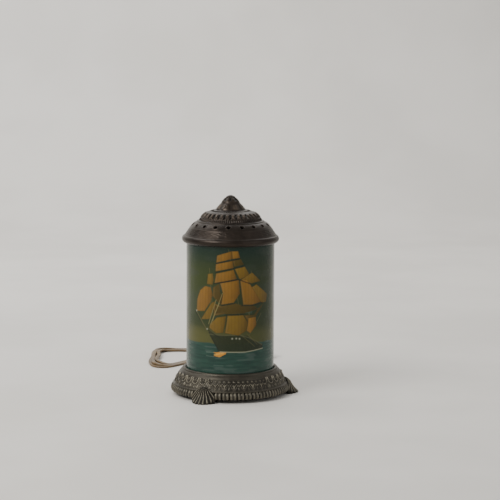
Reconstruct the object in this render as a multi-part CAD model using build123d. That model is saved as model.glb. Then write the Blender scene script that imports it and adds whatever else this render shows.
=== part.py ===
"""Heat-driven motion lamp: cast base and cap, painted glass cylinder, and a sleeve that turns inside.

Frame: millimetres, +Z up, origin on the lamp's axis at table height, front of the scene towards -Y.
Each physical piece is written to its own STEP file, named after its node.
"""
import math
import os

from build123d import *

# ---------------------------------------------------------------- driving dimensions
# painted glass cylinder
GLASS_R = 57.0
GLASS_WALL = 2.5
GLASS_FOOT_Z = 30.2
GLASS_TOP_Z = 201.8
GLASS_GAP = 0.4

# base casting
LIP_TOP_Z = 35.6
BEAD_LINE_R = 73.4
BEAD_LINE_Z = 15.2
SKIRT_R = 76.6
SKIRT_EDGE_Z = 5.3
LEDGE_R = 51.0
LEDGE_UNDER_Z = 26.7
FOOT_ANGLES = (-26.0, 94.0, 214.0)
FOOT_TIP_R = 89.5
FOOT_ROOT_R = 66.0
FOOT_HALF_WIDTH = 13.5

# cap casting
CAP_FOOT_Z = 198.3
CAP_RIM_R = 62.9
CAP_RIM_Z = 203.4
CAP_TIP_Z = 259.3
VENT_COUNT = 18
VENT_R = 2.5
VENT_CIRCLE_R = 48.8
VENT_Z = 222.0
VENT_TILT = 39.0
VENT_FIRST_ANGLE = -2.2

# socket bar and its fasteners
BAR_Z = 18.0
BAR_THICK = 1.5
BAR_HALF_LENGTH = 55.0
BAR_WIDTH = 12.0
BAR_SCREW_X = 50.0
BAR_SCREW_R = 1.95
BOSS_R = 4.6
THREAD_GAP = 0.05

# nipple and lamp socket
NIPPLE_R = 5.05
NIPPLE_BORE_R = 3.4
NIPPLE_Z = (11.0, 27.0)
SOCKET_CAP_R = 16.8
SOCKET_SHELL_R = 15.9
SOCKET_TOP_Z = 61.0
SCREW_SHELL_R = 13.8
SCREW_SHELL_WALL = 0.4
SCREW_SHELL_Z = (36.5, 59.5)

# bulb
BULB_CONTACT_Z = 38.2
BULB_THREAD_R = 13.0
BULB_COLLAR_Z = 61.0
BULB_GLOBE_R = 24.0
BULB_GLOBE_Z = 103.0
BULB_WALL = 0.7
THREAD_TURNS = 5
STEM_TOP_Z = 84.0

# pivot frame and needle
FRAME_X = 34.0
FRAME_TOP_Z = 166.0
FRAME_WIRE_R = 1.2
FRAME_BEND_R = 20.0
NEEDLE_TIP_Z = 186.0
NEEDLE_R = 0.8

# rotor
SLEEVE_R = 46.4
SLEEVE_WALL = 0.4
SLEEVE_Z = (39.0, 185.0)
HOOP_WALL = 0.9
FAN_Z = 185.0
FAN_THICK = 0.6
FAN_RIM_R = (40.0, 45.6)
FAN_HUB_R = 13.0
FAN_BLADES = 12
FAN_PITCH = 35.0
CUP_R = 3.5

# supply cord, laid on the table behind the lamp
CORD_R = 2.7
CORD_Z = 2.75
BUSHING_Z = 11.5
BUSHING_HOLE_R = 3.9
BUSHING_END_Y = 103.0
COIL_HEIGHT = 8.4
LEAD_ROUTE = [
    (0.0, 80.0, BUSHING_Z),
    (0.0, 105.0, BUSHING_Z),
    (-1.0, 134.0, CORD_Z + 0.6),
    (-4.0, 170.0, CORD_Z),
    (-8.0, 206.0, CORD_Z),
    (-14.0, 238.0, CORD_Z),
    (-18.0, 262.0, CORD_Z),
]
PLUG_ROUTE = [
    (-8.0, 289.0, CORD_Z),
    (1.0, 304.0, CORD_Z),
    (17.5, 310.0, CORD_Z),
    (34.5, 304.5, CORD_Z + 0.6),
    (45.0, 289.0, 5.4),
    (45.5, 270.5, 7.0),
]
COIL_OUTSIDE = [(-122.0, 160.0), (-122.0, 318.0), (8.0, 307.0), (8.0, 280.0), (-86.0, 152.0)]
COIL_OUTSIDE_RADII = [14.0, 24.0, 11.0, 16.0, 18.0]
COIL_INSIDE = [(-106.0, 184.0), (-106.0, 298.0), (-22.0, 289.0), (-90.0, 184.0)]
COIL_INSIDE_RADII = [6.0, 14.0, 8.0, 6.0]
TIE_AT = (-50.0, 303.0)

# plug
PLUG_ENTRY_Y = 271.0
PLUG_X = 45.5
PLUG_Z = 7.0
PLUG_LENGTH = 28.0
PLUG_HALF_WIDTH = 13.0
BLADE_SPACING = 12.7
BLADE_WIDTH = 6.35
BLADE_THICK = 1.5
BLADE_LENGTH = 16.0


# ---------------------------------------------------------------- helpers
def turned(*lines):
    """A solid of revolution about +Z, from lines drawn in the (radius, height) plane."""
    edges = [edge for line in lines for edge in line.edges()]
    return revolve(Plane.XZ * make_face(edges), Axis.Z)


def turned_points(*points):
    """A solid of revolution about +Z, from the corners of a straight-sided outline."""
    return turned(Polyline(*points, close=True))


def ring(inner_r, outer_r, low_z, high_z):
    """A plain ring about +Z."""
    return turned_points((inner_r, low_z), (outer_r, low_z), (outer_r, high_z), (inner_r, high_z))


def disc(radius, low_z, high_z, x=0.0, y=0.0):
    """A plain upright cylinder."""
    return Pos(x, y, low_z) * extrude(Circle(radius), high_z - low_z)


def dome(radius, edge_z, top_z):
    """A spherical cap's half outline, from its edge to its top (or bottom) on the axis."""
    rise = top_z - edge_z
    centre_z = top_z - (radius**2 + rise**2) / (2 * rise)
    start = math.degrees(math.atan2(edge_z - centre_z, radius))
    end = math.copysign(90, rise)
    return CenterArc((0, centre_z), abs(top_z - centre_z), start, end - start)


def hex_nut(across_flats, bore_r, low_z, high_z, x=0.0):
    """A hexagon nut with a plain bore."""
    outline = RegularPolygon(across_flats / 2, 6, major_radius=False) - Circle(bore_r)
    return Pos(x, 0, low_z) * extrude(outline, high_z - low_z)


def heading(angle):
    """The rotation that takes +X to a bearing measured from the front, -Y, towards +X."""
    return Rot(0, 0, angle - 90)


def rod_along_y(radius, low_y, high_y, x, z):
    """A plain cylinder whose axis is along +Y."""
    return Pos(x, low_y, z) * Rot(-90, 0, 0) * extrude(Circle(radius), high_y - low_y)


def route_radii(route):
    """The bend radius at each inner point: as large as the two runs beside it allow."""
    radii = []
    for before, here, after in zip(route, route[1:], route[2:]):
        run_in = Vector(here) - Vector(before)
        run_out = Vector(after) - Vector(here)
        half_turn = math.radians(run_in.get_angle(run_out)) / 2
        radii.append(0.45 * min(run_in.length, run_out.length) / math.tan(half_turn))
    return radii


def tube(route, radius, name):
    """A round tube along straight runs joined by tangent arcs."""
    radii = route_radii(route)
    path = FilletPolyline(*route, radius=radii)
    start = Plane(origin=path @ 0, z_dir=path % 0)
    solid = sweep(start * Circle(radius), path=path)
    print(name, "bend radii", [round(r, 1) for r in radii], "length", round(path.length, 1))
    print(name, "volume", round(solid.volume), "expected", round(math.pi * radius**2 * path.length))
    return solid


# ---------------------------------------------------------------- base casting
def base_skirt():
    """The hollow skirt: lip round the glass, rounded shoulder, flare, bead line and border."""
    seat_r = GLASS_R + GLASS_GAP
    lip = ThreePointArc((seat_r, 34.4), (59.8, LIP_TOP_Z), (62.2, 33.4))
    shoulder = ThreePointArc((62.2, 33.4), (65.0, 30.8), (67.0, 27.6))
    flare = ThreePointArc((67.0, 27.6), (70.3, 21.0), (BEAD_LINE_R, BEAD_LINE_Z))
    bead = ThreePointArc((BEAD_LINE_R, BEAD_LINE_Z), (74.7, 14.4), (74.2, 13.2))
    border = ThreePointArc((74.2, 13.2), (76.3, 10.6), (SKIRT_R, 7.4))
    inside = Polyline(
        (SKIRT_R, 7.4),
        (SKIRT_R - 1.2, SKIRT_EDGE_Z),
        (73.4, SKIRT_EDGE_Z),
        (72.6, 9.5),
        (69.6, 17.5),
        (65.2, LEDGE_UNDER_Z),
        (LEDGE_R, LEDGE_UNDER_Z),
        (LEDGE_R, GLASS_FOOT_Z),
        (seat_r, GLASS_FOOT_Z),
        (seat_r, 34.4),
    )
    return turned(lip, shoulder, flare, bead, border, inside)


def shell_foot():
    """One shell foot on the +X axis: a fan in plan, falling from the skirt to a low tip."""
    side = Polyline(
        (FOOT_ROOT_R, 0),
        (FOOT_TIP_R - 1.2, 0),
        (FOOT_TIP_R, 1.2),
        (82.7, 7.9),
        (76.5, 15.6),
        (71.8, 19.6),
        (FOOT_ROOT_R, 19.6),
        close=True,
    )
    root_half = FOOT_HALF_WIDTH * 0.62
    fan_sides = Polyline(
        (80.0, -FOOT_HALF_WIDTH), (FOOT_ROOT_R, -root_half), (FOOT_ROOT_R, root_half), (80.0, FOOT_HALF_WIDTH)
    )
    fan_front = ThreePointArc((80.0, FOOT_HALF_WIDTH), (FOOT_TIP_R, 0), (80.0, -FOOT_HALF_WIDTH))
    fan = make_face([*fan_sides.edges(), *fan_front.edges()])
    slab = extrude(Plane.XZ * make_face(side.edges()), FOOT_HALF_WIDTH, both=True)
    return slab & extrude(fan, LIP_TOP_Z)


def base_casting():
    """The skirt with its three feet, two screw bosses and the cord hole at the back."""
    casting = base_skirt()
    for angle in FOOT_ANGLES:
        casting += heading(angle) * shell_foot()
    for x in (-BAR_SCREW_X, BAR_SCREW_X):
        casting += disc(BOSS_R, BAR_Z + BAR_THICK, LEDGE_UNDER_Z + 1, x)
        casting -= disc(BAR_SCREW_R + THREAD_GAP, BAR_Z, LEDGE_UNDER_Z, x)
    casting -= rod_along_y(BUSHING_HOLE_R, 60, 80, 0, BUSHING_Z)
    return casting


# ---------------------------------------------------------------- socket bar and lamp socket
def socket_bar():
    """The flat steel bar across the underside that carries the socket and the pivot frame."""
    plate = Rectangle(2 * BAR_HALF_LENGTH, BAR_WIDTH)
    plate = fillet(plate.vertices(), BAR_WIDTH * 0.35)
    holes = Circle(NIPPLE_R + THREAD_GAP)
    for x in (-BAR_SCREW_X, BAR_SCREW_X):
        holes += Pos(x, 0) * Circle(BAR_SCREW_R + THREAD_GAP)
    for x in (-FRAME_X, FRAME_X):
        holes += Pos(x, 0) * Circle(FRAME_WIRE_R + THREAD_GAP)
    return Pos(0, 0, BAR_Z) * extrude(plate - holes, BAR_THICK)


def bar_screws():
    """Two round-head screws that hold the bar to the casting's bosses."""
    head_r = 3.6
    head_z = BAR_Z - 2.4
    screws = []
    for x in (-BAR_SCREW_X, BAR_SCREW_X):
        profile = [
            ThreePointArc((0, head_z), (head_r * 0.75, head_z + 0.7), (head_r, BAR_Z)),
            Polyline(
                (head_r, BAR_Z), (BAR_SCREW_R, BAR_Z), (BAR_SCREW_R, LEDGE_UNDER_Z - 0.5),
                (0, LEDGE_UNDER_Z - 0.5), (0, head_z),
            ),
        ]
        slot = Pos(x, 0, head_z) * Box(2 * head_r, 0.9, 1.6)
        screws.append(Pos(x, 0, 0) * turned(*profile) - slot)
    return Compound(children=screws)


def lamp_nipple():
    """The hollow threaded tube that joins the socket to the bar and lets the wires through."""
    return ring(NIPPLE_BORE_R, NIPPLE_R, *NIPPLE_Z)


def nipple_washer():
    """The washer under the bar."""
    return ring(NIPPLE_R + THREAD_GAP, 8.5, BAR_Z - 0.8, BAR_Z)


def nipple_nut():
    """The hexagon locknut under the washer."""
    return hex_nut(15.0, NIPPLE_R + THREAD_GAP, BAR_Z - 4.3, BAR_Z - 0.8)


def socket_cap():
    """The brass cup screwed to the nipple."""
    floor_z = BAR_Z + BAR_THICK
    collar_r = NIPPLE_R + THREAD_GAP
    inner_r = SOCKET_CAP_R - 0.8
    outside = ThreePointArc((8.4, floor_z + 2.2), (14.4, floor_z + 5.2), (SOCKET_CAP_R, floor_z + 10))
    inside = ThreePointArc((inner_r, floor_z + 10.2), (13.6, floor_z + 6.0), (8.0, floor_z + 3.2))
    rest = Polyline(
        (8.0, floor_z + 3.2), (collar_r, floor_z + 3.2), (collar_r, floor_z),
        (8.4, floor_z), (8.4, floor_z + 2.2),
    )
    rim = Polyline(
        (SOCKET_CAP_R, floor_z + 10), (SOCKET_CAP_R, 36.5), (inner_r, 36.5), (inner_r, floor_z + 10.2)
    )
    return turned(outside, rim, inside, rest)


def socket_shell():
    """The thin brass sleeve that snaps into the cup, with a rolled bead near its mouth."""
    inner_r = SOCKET_SHELL_R - 0.5
    outside = Polyline((inner_r, 30.5), (SOCKET_SHELL_R, 30.5), (SOCKET_SHELL_R, SOCKET_TOP_Z - 5))
    bead = ThreePointArc(
        (SOCKET_SHELL_R, SOCKET_TOP_Z - 5),
        (SOCKET_SHELL_R + 0.7, SOCKET_TOP_Z - 3.8),
        (SOCKET_SHELL_R, SOCKET_TOP_Z - 2.6),
    )
    mouth = Polyline(
        (SOCKET_SHELL_R, SOCKET_TOP_Z - 2.6), (SOCKET_SHELL_R, SOCKET_TOP_Z),
        (inner_r, SOCKET_TOP_Z), (inner_r, 30.5),
    )
    return turned(outside, bead, mouth)


def socket_liner():
    """The insulating paper tube inside the shell."""
    return ring(14.4, 15.1, 31.0, SOCKET_TOP_Z - 1)


def socket_body():
    """The moulded block that carries the contacts, notched for its two terminals."""
    block = ring(1.6, 14.2, 30.0, SCREW_SHELL_Z[0])
    for y in (-12.0, 12.0):
        block -= Pos(0, y, 33) * Box(8.0, 6.0, 8.0)
        block -= rod_along_y(1.45, min(y, 0) * 0.9, max(y, 0) * 0.9, 0, 33.5)
    return block


def terminal_screws():
    """The two terminal screws in the notches of the block."""
    screws = []
    for side in (-1, 1):
        shank = rod_along_y(1.4, 4.0, 9.2, 0, 33.5)
        head = rod_along_y(2.5, 9.2, 10.8, 0, 33.5)
        slot = Pos(0, 10.8, 33.5) * Box(5.2, 1.0, 0.7)
        screws.append(Rot(0, 0, 90 - 90 * side) * (shank + head - slot))
    return Compound(children=screws)


def screw_shell():
    """The threaded brass cup that the bulb screws into."""
    low_z, high_z = SCREW_SHELL_Z
    inner_r = SCREW_SHELL_R - SCREW_SHELL_WALL
    return turned_points(
        (3.5, low_z), (SCREW_SHELL_R, low_z), (SCREW_SHELL_R, high_z),
        (inner_r, high_z), (inner_r, low_z + 0.5), (3.5, low_z + 0.5),
    )


def centre_contact():
    """The sprung contact in the middle of the screw shell."""
    low_z = SCREW_SHELL_Z[0] - 2.5
    stem = disc(1.5, low_z, BULB_CONTACT_Z - 0.8)
    return stem + disc(2.8, BULB_CONTACT_Z - 0.8, BULB_CONTACT_Z - 0.1)


def inner_leads():
    """The two single wires from the cord hole to the nipple and up to the terminals."""
    wires = []
    for side in (-1, 1):
        x = side * 1.3
        route = [
            (x, 76.0, BUSHING_Z),
            (x, 58.0, BUSHING_Z - 0.5),
            (side * 5.0, 38.0, 7.0),
            (side * 4.0, 18.0, 4.6),
            (x, 4.0, 6.0),
            (x, 0.2, 15.0),
            (x, 0.0, 24.0),
        ]
        wires.append(tube(route, 0.9, "inner lead"))
    return Compound(children=wires)


# ---------------------------------------------------------------- pivot frame
def pivot_frame():
    """The wire arch that straddles the bulb and carries the needle."""
    foot_z = BAR_Z - 4.0
    path = FilletPolyline(
        (-FRAME_X, 0, foot_z),
        (-FRAME_X, 0, FRAME_TOP_Z),
        (FRAME_X, 0, FRAME_TOP_Z),
        (FRAME_X, 0, foot_z),
        radius=FRAME_BEND_R,
    )
    return sweep(Plane(origin=path @ 0, z_dir=path % 0) * Circle(FRAME_WIRE_R), path=path)


def frame_nuts():
    """Nuts above and below the bar on each leg of the arch."""
    bore_r = FRAME_WIRE_R + THREAD_GAP
    bar_top = BAR_Z + BAR_THICK
    nuts = []
    for x in (-FRAME_X, FRAME_X):
        nuts.append(hex_nut(6.0, bore_r, BAR_Z - 2.4, BAR_Z, x))
        nuts.append(hex_nut(6.0, bore_r, bar_top, bar_top + 2.4, x))
    return Compound(children=nuts)


def needle_holder():
    """The brass collar at the top of the arch."""
    collar = turned_points(
        (0, FRAME_TOP_Z - 2.8), (3.2, FRAME_TOP_Z - 2.8), (3.2, FRAME_TOP_Z + 4),
        (1.8, FRAME_TOP_Z + 8), (0, FRAME_TOP_Z + 8),
    )
    wire_hole = Pos(-5, 0, FRAME_TOP_Z) * Rot(0, 90, 0) * extrude(Circle(FRAME_WIRE_R + THREAD_GAP), 10)
    needle_hole = disc(NEEDLE_R + THREAD_GAP, FRAME_TOP_Z + 2.5, FRAME_TOP_Z + 9)
    return collar - wire_hole - needle_hole


def pivot_needle():
    """The steel needle that the rotor spins on."""
    return turned_points(
        (0, FRAME_TOP_Z + 3), (NEEDLE_R, FRAME_TOP_Z + 3), (NEEDLE_R, NEEDLE_TIP_Z - 3.5),
        (0.12, NEEDLE_TIP_Z), (0, NEEDLE_TIP_Z),
    )


# ---------------------------------------------------------------- bulb
def bulb_shell():
    """The rolled-thread metal shell of the bulb's base."""
    low_z = BULB_CONTACT_Z + 3.2
    high_z = BULB_COLLAR_Z
    pitch = (high_z - 3.0 - low_z) / THREAD_TURNS
    outline = [Line((BULB_THREAD_R - 1.2, low_z), (BULB_THREAD_R - 0.8, low_z))]
    for turn in range(THREAD_TURNS):
        start = low_z + turn * pitch
        outline.append(
            ThreePointArc(
                (BULB_THREAD_R - 0.8, start),
                (BULB_THREAD_R, start + pitch / 2),
                (BULB_THREAD_R - 0.8, start + pitch),
            )
        )
    outline.append(
        Polyline(
            (BULB_THREAD_R - 0.8, high_z - 3.0), (BULB_THREAD_R - 0.3, high_z),
            (BULB_THREAD_R - 1.2, high_z), (BULB_THREAD_R - 1.2, low_z),
        )
    )
    return turned(*outline)


def bulb_insulator():
    """The dark glass button between the shell and the tip."""
    low_z = BULB_CONTACT_Z + 0.9
    high_z = BULB_CONTACT_Z + 3.2
    return turned_points((0, low_z), (4.6, low_z), (BULB_THREAD_R - 1.0, high_z), (0, high_z))


def bulb_tip():
    """The solder tip of the bulb."""
    top_z = BULB_CONTACT_Z + 0.9
    tip = dome(3.8, top_z, BULB_CONTACT_Z)
    return turned(tip, Polyline((3.8, top_z), (0, top_z), (0, BULB_CONTACT_Z)))


def bulb_outline(globe_r, neck_r, top_z):
    """Half outline of the envelope, from its neck to its top, as a line and two curves."""
    neck_top = BULB_COLLAR_Z + 7
    shoulder = (globe_r * math.cos(math.radians(20)), BULB_GLOBE_Z - globe_r * math.sin(math.radians(20)))
    neck = Line((neck_r, BULB_COLLAR_Z - 8), (neck_r, neck_top))
    flare = TangentArc((neck_r, neck_top), (shoulder[0], shoulder[1]), tangent=(0, 1))
    globe = dome(*shoulder, top_z)
    return [neck, flare, globe]


def bulb_glass():
    """The hollow clear envelope."""
    foot_z = BULB_COLLAR_Z - 8
    neck_r = BULB_THREAD_R - 1.4
    top_z = BULB_GLOBE_Z + BULB_GLOBE_R
    outer = bulb_outline(BULB_GLOBE_R, neck_r, top_z)
    inner = bulb_outline(BULB_GLOBE_R - BULB_WALL, neck_r - BULB_WALL, top_z - BULB_WALL)
    foot = Line((neck_r - BULB_WALL, foot_z), (neck_r, foot_z))
    crown = Line((0, top_z), (0, top_z - BULB_WALL))
    return turned(*outer, crown, *inner, foot)


def bulb_stem():
    """The glass stem that holds the filament."""
    return turned_points((0, 54.0), (9.5, 54.0), (4.0, 62.0), (3.2, STEM_TOP_Z), (0, STEM_TOP_Z))


def bulb_filament():
    """The filament in its arc, with its two lead wires and one middle support."""
    wire_r = 0.3
    wire_z = STEM_TOP_Z + 0.2
    arc_r = 11.0
    top_z = 104.0
    pieces = []
    for side in (-1, 1):
        path = Line((side * 2.4, 0, wire_z), (side * arc_r, 0, top_z))
        pieces.append(sweep(Plane(origin=path @ 0, z_dir=path % 0) * Circle(wire_r), path=path))
    path = Line((0, 0, wire_z), (0, -arc_r, top_z))
    pieces.append(sweep(Plane(origin=path @ 0, z_dir=path % 0) * Circle(wire_r), path=path))
    arc = ThreePointArc((-arc_r, 0, top_z + 0.6), (0, -arc_r, top_z + 0.6), (arc_r, 0, top_z + 0.6))
    pieces.append(sweep(Plane(origin=arc @ 0, z_dir=arc % 0) * Circle(wire_r), path=arc))
    return Compound(children=pieces)


# ---------------------------------------------------------------- rotor
def fan_wheel():
    """The pierced metal disc whose bent blades turn the sleeve in the rising warm air."""
    wheel = ring(CUP_R + THREAD_GAP, FAN_HUB_R, FAN_Z, FAN_Z + FAN_THICK)
    wheel += ring(*FAN_RIM_R, FAN_Z, FAN_Z + FAN_THICK)
    inner_x = FAN_HUB_R - 0.6
    outer_x = FAN_RIM_R[0] + 0.6
    outline = make_face(
        Polyline((inner_x, -2.2), (outer_x, -5.2), (outer_x, 5.2), (inner_x, 2.2), close=True).edges()
    )
    blade = Rot(FAN_PITCH, 0, 0) * extrude(outline, FAN_THICK / 2, both=True)
    for index in range(FAN_BLADES):
        wheel += Pos(0, 0, FAN_Z + FAN_THICK / 2) * Rot(0, 0, index * 360 / FAN_BLADES) * blade
    return wheel


def pivot_cup():
    """The small bearing cup, hollowed to sit on the needle's point."""
    seat_z = NEEDLE_TIP_Z + 0.04
    return turned_points(
        (2.3, FAN_Z - 2.6), (CUP_R, FAN_Z - 2.6), (CUP_R, FAN_Z + 2.0), (2.2, FAN_Z + 3.6),
        (0, FAN_Z + 3.6), (0, seat_z), (0.16, seat_z),
    )


def motion_sleeve():
    """The thin printed sleeve hung from the fan wheel."""
    return ring(SLEEVE_R - SLEEVE_WALL, SLEEVE_R, *SLEEVE_Z)


def top_hoop():
    """The wire band inside the sleeve's top edge, under the wheel's rim."""
    outer_r = SLEEVE_R - SLEEVE_WALL - THREAD_GAP
    return ring(outer_r - HOOP_WALL, outer_r, FAN_Z - 4.5, FAN_Z)


def bottom_hoop():
    """The stiffening band inside the sleeve's lower edge."""
    outer_r = SLEEVE_R - SLEEVE_WALL - THREAD_GAP
    return ring(outer_r - HOOP_WALL, outer_r, SLEEVE_Z[0], SLEEVE_Z[0] + 3.0)


# ---------------------------------------------------------------- glass and cap
def scene_cylinder():
    """The open glass cylinder that carries the painted scene."""
    return ring(GLASS_R - GLASS_WALL, GLASS_R, GLASS_FOOT_Z, GLASS_TOP_Z)


def cap_outside():
    """The cap's outline from its foot to the tip of its bud, as arcs and ledges."""
    rim = ThreePointArc((59.4, CAP_FOOT_Z), (CAP_RIM_R, CAP_RIM_Z), (59.4, 207.9))
    lower_tier = ThreePointArc((59.4, 207.9), (56.0, 212.8), (53.0, 217.4))
    vent_band = ThreePointArc((53.0, 217.4), (49.0, 221.9), (44.2, 225.0))
    ridge = ThreePointArc((44.2, 225.0), (43.2, 226.3), (41.4, 226.3))
    ledge = Line((41.4, 226.3), (40.5, 227.2))
    upper_tier = ThreePointArc((40.5, 227.2), (37.5, 232.2), (30.6, 237.4))
    shoulder = ThreePointArc((30.6, 237.4), (26.0, 238.9), (20.2, 240.0))
    leaf_cup = ThreePointArc((20.2, 240.0), (15.8, 244.6), (12.2, 249.4))
    bud_side = ThreePointArc((12.2, 249.4), (9.9, 252.8), (6.4, 255.8))
    bud_tip = dome(6.4, 255.8, CAP_TIP_Z)
    return [rim, lower_tier, vent_band, ridge, ledge, upper_tier, shoulder, leaf_cup, bud_side, bud_tip]


def cap_inside():
    """The cap's inner outline: skirt over the glass, stop ledge and hollow dome."""
    skirt_r = GLASS_R + GLASS_GAP
    stop_r = GLASS_R - GLASS_WALL
    return Polyline(
        (0, CAP_TIP_Z),
        (0, 237.0),
        (24.0, 235.4),
        (33.0, 230.3),
        (38.2, 223.6),
        (45.8, 220.2),
        (50.2, 215.2),
        (56.6, 206.0),
        (stop_r, 204.4),
        (stop_r, GLASS_TOP_Z),
        (skirt_r, GLASS_TOP_Z),
        (skirt_r, CAP_FOOT_Z),
        (59.4, CAP_FOOT_Z),
    )


def cap_casting():
    """The domed cap with its ring of vent holes."""
    casting = turned(*cap_outside(), cap_inside())
    drill = Pos(VENT_CIRCLE_R, 0, VENT_Z) * Rot(0, VENT_TILT, 0) * Cylinder(VENT_R, 12)
    for index in range(VENT_COUNT):
        casting -= heading(VENT_FIRST_ANGLE + index * 360 / VENT_COUNT) * drill
    return casting


# ---------------------------------------------------------------- supply cord and plug
def cord_bushing():
    """The tapered rubber bushing where the cord leaves the base."""
    flange_y = 77.6
    bore_r = CORD_R + 0.1
    profile = turned_points(
        (bore_r, 68.0), (BUSHING_HOLE_R - 0.1, 68.0), (BUSHING_HOLE_R - 0.1, flange_y), (5.4, flange_y),
        (5.4, flange_y + 2.0), (4.7, flange_y + 2.6), (3.5, BUSHING_END_Y), (bore_r, BUSHING_END_Y),
    )
    return Pos(0, 0, BUSHING_Z) * Rot(-90, 0, 0) * profile


def cord_lead():
    """The cord from the bushing to the coil."""
    return tube(LEAD_ROUTE, CORD_R, "cord lead")


def tie_frame(outer, inner):
    """A flat band round the coil's far side."""
    place = Pos(TIE_AT[0], TIE_AT[1], 0) * Rot(0, 0, -4.5)
    return place * (Pos(0, 0, outer[1] / 2) * Box(5, *outer) - Pos(0, 0, outer[1] / 2) * Box(5, *inner))


def cord_coil():
    """The outer shape of the coiled turns: a rounded, lopsided ring on the table."""
    outside = make_face(FilletPolyline(*COIL_OUTSIDE, radius=COIL_OUTSIDE_RADII, close=True).edges())
    inside = make_face(FilletPolyline(*COIL_INSIDE, radius=COIL_INSIDE_RADII, close=True).edges())
    return extrude(outside - inside, COIL_HEIGHT) - cord_tie()


def cord_tie():
    """The paper-covered wire that holds the turns together."""
    return tie_frame((27.0, COIL_HEIGHT + 0.6), (25.6, COIL_HEIGHT - 0.8))


def plug_lead():
    """The cord from the coil to the plug."""
    return tube(PLUG_ROUTE, CORD_R, "plug lead")


def plug_body():
    """The moulded plug: wide at its face and narrowing to the cord."""
    half_depth = PLUG_Z - 0.1
    plan = Polyline(
        (-5.0, 0), (-5.6, -7), (-PLUG_HALF_WIDTH, -15), (-PLUG_HALF_WIDTH, -PLUG_LENGTH),
        (PLUG_HALF_WIDTH, -PLUG_LENGTH), (PLUG_HALF_WIDTH, -15), (5.6, -7), (5.0, 0), close=True,
    )
    block = extrude(make_face(plan.edges()), half_depth, both=True)
    block = fillet(block.edges().filter_by(Axis.Z), 2.0)
    rims = block.edges().group_by(Axis.Z)
    block = fillet(rims[0] + rims[-1], 2.0)
    block = Pos(PLUG_X, PLUG_ENTRY_Y, PLUG_Z) * block
    face_y = PLUG_ENTRY_Y - PLUG_LENGTH
    for x in (-BLADE_SPACING / 2, BLADE_SPACING / 2):
        block -= Pos(PLUG_X + x, face_y + 3, PLUG_Z) * Box(BLADE_THICK, 6, BLADE_WIDTH)
    return block


def plug_disc():
    """The fibre disc over the plug's face."""
    outline = SlotOverall(22.0, 9.6)
    for x in (-BLADE_SPACING / 2, BLADE_SPACING / 2):
        outline -= Pos(x, 0) * Rectangle(BLADE_THICK + 0.1, BLADE_WIDTH + 0.1)
    face_y = PLUG_ENTRY_Y - PLUG_LENGTH
    return Pos(PLUG_X, face_y, PLUG_Z) * Rot(90, 0, 0) * extrude(outline, 0.8)


def plug_blades():
    """The two flat blades, with the hole near each end."""
    face_y = PLUG_ENTRY_Y - PLUG_LENGTH
    inner_y = face_y + 6
    outer_y = face_y - BLADE_LENGTH
    blades = []
    for x in (-BLADE_SPACING / 2, BLADE_SPACING / 2):
        blade = Pos(PLUG_X + x, (inner_y + outer_y) / 2, PLUG_Z) * Box(
            BLADE_THICK, inner_y - outer_y, BLADE_WIDTH
        )
        hole = Pos(PLUG_X + x - 2, outer_y + 4, PLUG_Z) * Rot(0, 90, 0) * extrude(Circle(1.6), 4)
        blades.append(blade - hole)
    return Compound(children=blades)


NODES = {
    "base_casting": base_casting,
    "socket_bar": socket_bar,
    "bar_screws": bar_screws,
    "lamp_nipple": lamp_nipple,
    "nipple_washer": nipple_washer,
    "nipple_nut": nipple_nut,
    "socket_cap": socket_cap,
    "socket_shell": socket_shell,
    "socket_liner": socket_liner,
    "socket_body": socket_body,
    "terminal_screws": terminal_screws,
    "screw_shell": screw_shell,
    "centre_contact": centre_contact,
    "inner_leads": inner_leads,
    "pivot_frame": pivot_frame,
    "frame_nuts": frame_nuts,
    "needle_holder": needle_holder,
    "pivot_needle": pivot_needle,
    "bulb_shell": bulb_shell,
    "bulb_insulator": bulb_insulator,
    "bulb_tip": bulb_tip,
    "bulb_glass": bulb_glass,
    "bulb_stem": bulb_stem,
    "bulb_filament": bulb_filament,
    "fan_wheel": fan_wheel,
    "pivot_cup": pivot_cup,
    "motion_sleeve": motion_sleeve,
    "top_hoop": top_hoop,
    "bottom_hoop": bottom_hoop,
    "scene_cylinder": scene_cylinder,
    "cap_casting": cap_casting,
    "cord_bushing": cord_bushing,
    "cord_lead": cord_lead,
    "cord_coil": cord_coil,
    "cord_tie": cord_tie,
    "plug_lead": plug_lead,
    "plug_body": plug_body,
    "plug_disc": plug_disc,
    "plug_blades": plug_blades,
}

os.makedirs("parts", exist_ok=True)
for node, build in NODES.items():
    export_step(build(), f"parts/{node}.step")
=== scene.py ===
import math

import bmesh
import bpy
import numpy as np
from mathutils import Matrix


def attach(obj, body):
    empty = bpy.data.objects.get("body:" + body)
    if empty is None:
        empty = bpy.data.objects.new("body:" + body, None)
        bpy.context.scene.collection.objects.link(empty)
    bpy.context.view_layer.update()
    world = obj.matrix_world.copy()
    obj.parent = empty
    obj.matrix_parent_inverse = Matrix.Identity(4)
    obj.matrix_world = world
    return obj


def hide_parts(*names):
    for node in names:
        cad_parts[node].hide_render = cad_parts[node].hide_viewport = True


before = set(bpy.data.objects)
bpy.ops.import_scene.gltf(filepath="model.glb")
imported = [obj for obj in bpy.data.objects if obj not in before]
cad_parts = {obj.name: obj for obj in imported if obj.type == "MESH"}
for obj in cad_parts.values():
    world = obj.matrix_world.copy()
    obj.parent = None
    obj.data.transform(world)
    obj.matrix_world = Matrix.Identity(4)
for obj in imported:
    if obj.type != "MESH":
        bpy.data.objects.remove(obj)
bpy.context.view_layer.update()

MM = 0.001

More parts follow.
